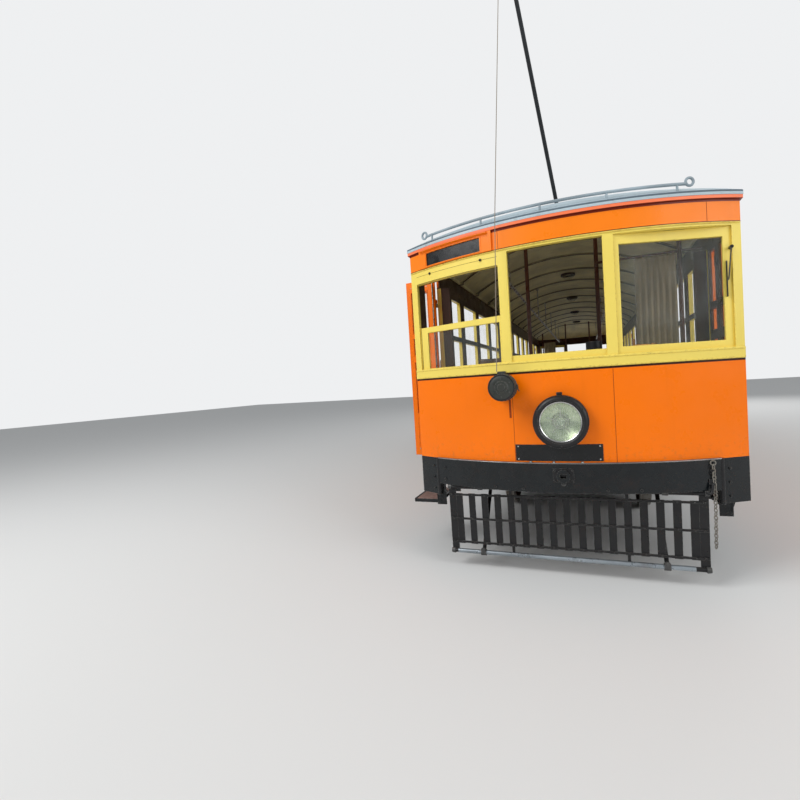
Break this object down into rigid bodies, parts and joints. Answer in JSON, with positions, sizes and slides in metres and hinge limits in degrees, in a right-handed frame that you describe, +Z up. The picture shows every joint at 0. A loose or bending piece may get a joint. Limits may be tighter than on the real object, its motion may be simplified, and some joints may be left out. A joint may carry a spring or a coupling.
{
  "type": "double-truck electric streetcar",
  "caption": "Double-ended wooden-lined streetcar with arched roof, curved dashes, swivelling trucks, folding doors and steps, and trolley poles.",
  "frame": {"origin": "middle of the car, at the lowest points of the wheel flanges, which it stands on", "axes": "+Y along the car, away from the end shown in the picture (end 1); +X to the right of a viewer who looks at end 1; +Z up"},
  "size_m": [3.1026, 12.872, 5.8573],
  "materials": {
    "orange_paint": "glossy orange coach enamel",
    "yellow_paint": "satin cream yellow enamel",
    "black_paint": "worn satin black",
    "roof_paint": "pale blue-grey roof paint",
    "ceiling_paint": "aged cream lining paint with dark ribs",
    "floor_wood": "worn oiled boards",
    "board_wood": "weathered grey planks",
    "truck_iron": "grimy cast and forged frames",
    "motor_iron": "oily cast housings",
    "wheel_steel": "polished treads and rusty webs",
    "window_glass": "old clear pane",
    "lens_glass": "clear lens",
    "sign_black": "blank roller blind behind glass",
    "seat_leather": "brown worn leather",
    "curtain_fabric": "drab heavy drape",
    "fitting_steel": "handled steel tube",
    "pole_steel": "dark painted steel tube",
    "wheel_bronze": "worn bronze"
  },
  "bodies": {
    "car": {"underframe": "black_paint", "floor": "floor_wood", "side_panel_left": "orange_paint", "side_panel_right": "orange_paint", "window_band_left": "yellow_paint", "window_band_right": "yellow_paint", "letterboard": "orange_paint", "dash_1": "orange_paint", "dash_2": "orange_paint", "end_frame_1": "yellow_paint", "end_frame_2": "yellow_paint", "end_sashes": "yellow_paint", "end_glass": "window_glass", "side_glass": "window_glass", "roof": "roof_paint", "ceiling": "ceiling_paint", "roof_boards": "board_wood", "roof_rails": "roof_paint", "bumpers": "black_paint", "fenders": "black_paint", "step_wells": "black_paint", "door_hinges": "fitting_steel", "headlights": "black_paint", "headlight_lenses": "lens_glass", "retrievers": "black_paint", "signs": "sign_black", "seat_frames": "fitting_steel", "seat_cushions": "seat_leather", "stanchions": "fitting_steel", "driver_stands": "black_paint", "curtains": "curtain_fabric", "air_gear": "black_paint", "resistor_boxes": "black_paint"},
    "truck_1": {"truck_1": "truck_iron", "motors_1": "motor_iron"},
    "axle_1a": {"axle_1a": "wheel_steel"},
    "axle_1b": {"axle_1b": "wheel_steel"},
    "truck_2": {"truck_2": "truck_iron", "motors_2": "motor_iron"},
    "axle_2a": {"axle_2a": "wheel_steel"},
    "axle_2b": {"axle_2b": "wheel_steel"},
    "door_1_left_rear": {"door_1_left_rear": "orange_paint"},
    "door_1_left_front": {"door_1_left_front": "orange_paint"},
    "step_1_left": {"step_1_left": "black_paint"},
    "door_1_right_rear": {"door_1_right_rear": "orange_paint"},
    "door_1_right_front": {"door_1_right_front": "orange_paint"},
    "step_1_right": {"step_1_right": "black_paint"},
    "door_2_left_rear": {"door_2_left_rear": "orange_paint"},
    "door_2_left_front": {"door_2_left_front": "orange_paint"},
    "step_2_left": {"step_2_left": "black_paint"},
    "door_2_right_rear": {"door_2_right_rear": "orange_paint"},
    "door_2_right_front": {"door_2_right_front": "orange_paint"},
    "step_2_right": {"step_2_right": "black_paint"},
    "trolley_base_1": {"trolley_base_1": "black_paint"},
    "pole_1": {"pole_1": "pole_steel"},
    "trolley_wheel_1": {"trolley_wheel_1": "wheel_bronze"},
    "trolley_base_2": {"trolley_base_2": "black_paint"},
    "pole_2": {"pole_2": "pole_steel"},
    "trolley_wheel_2": {"trolley_wheel_2": "wheel_bronze"}
  },
  "joints": [
    {"name": "truck_1_swivel", "type": "hinge", "parent": "car", "child": "truck_1", "pos_m": [0, -3.1, 0.7], "axis": [0, 0, 1], "range_deg": [-8, 8]},
    {"name": "axle_1a_roll", "type": "hinge", "parent": "truck_1", "child": "axle_1a", "pos_m": [0, -3.9, 0.355], "axis": [1, 0, 0], "continuous": true},
    {"name": "axle_1b_roll", "type": "hinge", "parent": "truck_1", "child": "axle_1b", "pos_m": [0, -2.3, 0.355], "axis": [1, 0, 0], "continuous": true},
    {"name": "truck_2_swivel", "type": "hinge", "parent": "car", "child": "truck_2", "pos_m": [0, 3.1, 0.7], "axis": [0, 0, 1], "range_deg": [-8, 8]},
    {"name": "axle_2a_roll", "type": "hinge", "parent": "truck_2", "child": "axle_2a", "pos_m": [0, 2.3, 0.355], "axis": [1, 0, 0], "continuous": true},
    {"name": "axle_2b_roll", "type": "hinge", "parent": "truck_2", "child": "axle_2b", "pos_m": [0, 3.9, 0.355], "axis": [1, 0, 0], "continuous": true},
    {"name": "door_1_left_swing", "type": "hinge", "parent": "car", "child": "door_1_left_rear", "pos_m": [-1.255, -5.14615, 1.75], "axis": [0, 0, 1], "range_deg": [0, 85]},
    {"name": "door_1_left_fold", "type": "hinge", "parent": "door_1_left_rear", "child": "door_1_left_front", "pos_m": [-1.54233, -5.22951, 1.75], "axis": [0, 0, 1], "range_deg": [-170, 0]},
    {"name": "step_1_left_fold", "type": "hinge", "parent": "car", "child": "step_1_left", "pos_m": [-1.165, -5.44365, 0.455], "axis": [0, 1, 0], "range_deg": [0, 72]},
    {"name": "door_1_right_swing", "type": "hinge", "parent": "car", "child": "door_1_right_rear", "pos_m": [1.255, -5.14615, 1.75], "axis": [0, 0, 1], "range_deg": [0, 85]},
    {"name": "door_1_right_fold", "type": "hinge", "parent": "door_1_right_rear", "child": "door_1_right_front", "pos_m": [1.197, -5.43965, 1.75], "axis": [0, 0, 1], "range_deg": [-170, 0]},
    {"name": "step_1_right_fold", "type": "hinge", "parent": "car", "child": "step_1_right", "pos_m": [1.165, -5.44365, 0.455], "axis": [0, 1, 0], "range_deg": [0, 72]},
    {"name": "door_2_left_swing", "type": "hinge", "parent": "car", "child": "door_2_left_rear", "pos_m": [-1.255, 5.14615, 1.75], "axis": [0, 0, 1], "range_deg": [0, 85]},
    {"name": "door_2_left_fold", "type": "hinge", "parent": "door_2_left_rear", "child": "door_2_left_front", "pos_m": [-1.197, 5.43965, 1.75], "axis": [0, 0, 1], "range_deg": [-170, 0]},
    {"name": "step_2_left_fold", "type": "hinge", "parent": "car", "child": "step_2_left", "pos_m": [-1.165, 5.44365, 0.455], "axis": [0, 1, 0], "range_deg": [-72, 0]},
    {"name": "door_2_right_swing", "type": "hinge", "parent": "car", "child": "door_2_right_rear", "pos_m": [1.255, 5.14615, 1.75], "axis": [0, 0, 1], "range_deg": [0, 85]},
    {"name": "door_2_right_fold", "type": "hinge", "parent": "door_2_right_rear", "child": "door_2_right_front", "pos_m": [1.54233, 5.22951, 1.75], "axis": [0, 0, 1], "range_deg": [-170, 0]},
    {"name": "step_2_right_fold", "type": "hinge", "parent": "car", "child": "step_2_right", "pos_m": [1.165, 5.44365, 0.455], "axis": [0, 1, 0], "range_deg": [-72, 0]},
    {"name": "trolley_base_1_swivel", "type": "hinge", "parent": "car", "child": "trolley_base_1", "pos_m": [0, -2.18, 3.3], "axis": [0, 0, 1], "range_deg": [-30, 30]},
    {"name": "pole_1_lift", "type": "hinge", "parent": "trolley_base_1", "child": "pole_1", "pos_m": [0, -2.18, 3.44], "axis": [-0.9949, 0.1005, 0], "range_deg": [-34, 18]},
    {"name": "trolley_wheel_1_spin", "type": "hinge", "parent": "pole_1", "child": "trolley_wheel_1", "pos_m": [-0.34905, -5.6343, 5.80353], "axis": [-0.9949, 0.1005, 0], "continuous": true},
    {"name": "trolley_base_2_swivel", "type": "hinge", "parent": "car", "child": "trolley_base_2", "pos_m": [0, 2.18, 3.3], "axis": [0, 0, 1], "range_deg": [-30, 30]},
    {"name": "pole_2_lift", "type": "hinge", "parent": "trolley_base_2", "child": "pole_2", "pos_m": [0, 2.18, 3.44], "axis": [1, 0, 0], "range_deg": [0, 52]},
    {"name": "trolley_wheel_2_spin", "type": "hinge", "parent": "pole_2", "child": "trolley_wheel_2", "pos_m": [0, 6.38, 3.458], "axis": [1, 0, 0], "continuous": true}
  ],
  "couplings": [
    {"joint": "door_1_left_fold", "follows": "door_1_left_swing", "ratio": -2},
    {"joint": "step_1_left_fold", "follows": "door_1_left_swing", "ratio": 0.84706},
    {"joint": "door_1_right_fold", "follows": "door_1_right_swing", "ratio": -2},
    {"joint": "step_1_right_fold", "follows": "door_1_right_swing", "ratio": 0.84706},
    {"joint": "door_2_left_fold", "follows": "door_2_left_swing", "ratio": -2},
    {"joint": "step_2_left_fold", "follows": "door_2_left_swing", "ratio": -0.84706},
    {"joint": "door_2_right_fold", "follows": "door_2_right_swing", "ratio": -2},
    {"joint": "step_2_right_fold", "follows": "door_2_right_swing", "ratio": -0.84706}
  ]
}
